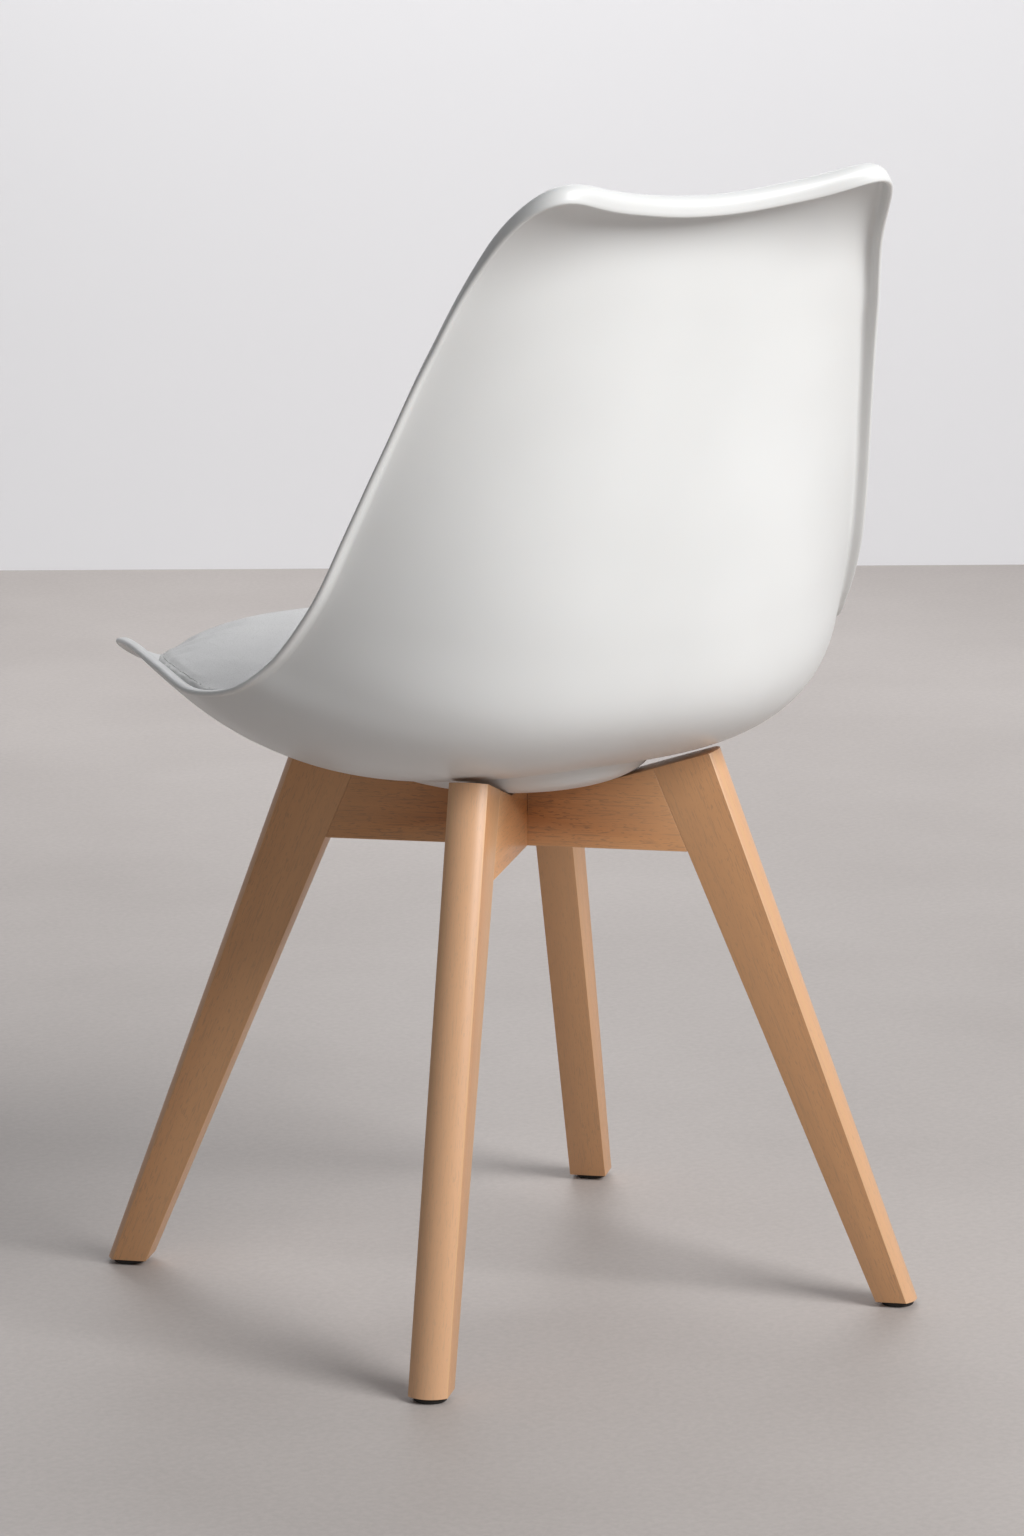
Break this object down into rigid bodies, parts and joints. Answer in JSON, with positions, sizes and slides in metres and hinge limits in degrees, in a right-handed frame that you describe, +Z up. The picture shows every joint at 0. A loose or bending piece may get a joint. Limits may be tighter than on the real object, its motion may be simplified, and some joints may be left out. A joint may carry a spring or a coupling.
{
  "type": "dining chair",
  "caption": "Dining chair with a one-piece moulded bucket seat, a fitted seat cushion and a crossed wooden frame with splayed tapered legs.",
  "frame": {"origin": "on the floor, at the middle of the chair's footprint box, under the crossing of the beams", "axes": "+Z up; -Y is the way the sitter faces; +X is the sitter's left"},
  "size_m": [0.5126, 0.5272, 0.8181],
  "materials": {
    "shell_plastic": "satin moulded polypropylene, off-white",
    "cushion_leather": "fine-grained leather-look upholstery, pale grey-white",
    "cushion_foam": "cut upholstery foam",
    "tray_plastic": "moulded cushion tray, matt black",
    "beech": "steamed beech, satin clear varnish",
    "zinc_steel": "zinc-plated steel",
    "brass": "machined brass",
    "glide_rubber": "matt dark rubber"
  },
  "bodies": {
    "root": {"beam_cross": "beech", "beam_long": "beech", "cushion_base": "tray_plastic", "cushion_cover": "cushion_leather", "cushion_foam": "cushion_foam", "cushion_nuts": "zinc_steel", "cushion_screws": "zinc_steel", "flat_washers": "zinc_steel", "glide_front_left": "glide_rubber", "glide_front_right": "glide_rubber", "glide_nails": "zinc_steel", "glide_rear_left": "glide_rubber", "glide_rear_right": "glide_rubber", "lap_screw": "zinc_steel", "leg_dowels": "beech", "leg_front_left": "beech", "leg_front_right": "beech", "leg_rear_left": "beech", "leg_rear_right": "beech", "seat_shell": "shell_plastic", "shell_bolts": "zinc_steel", "shell_inserts": "brass", "spring_washers": "zinc_steel"}
  },
  "joints": []
}
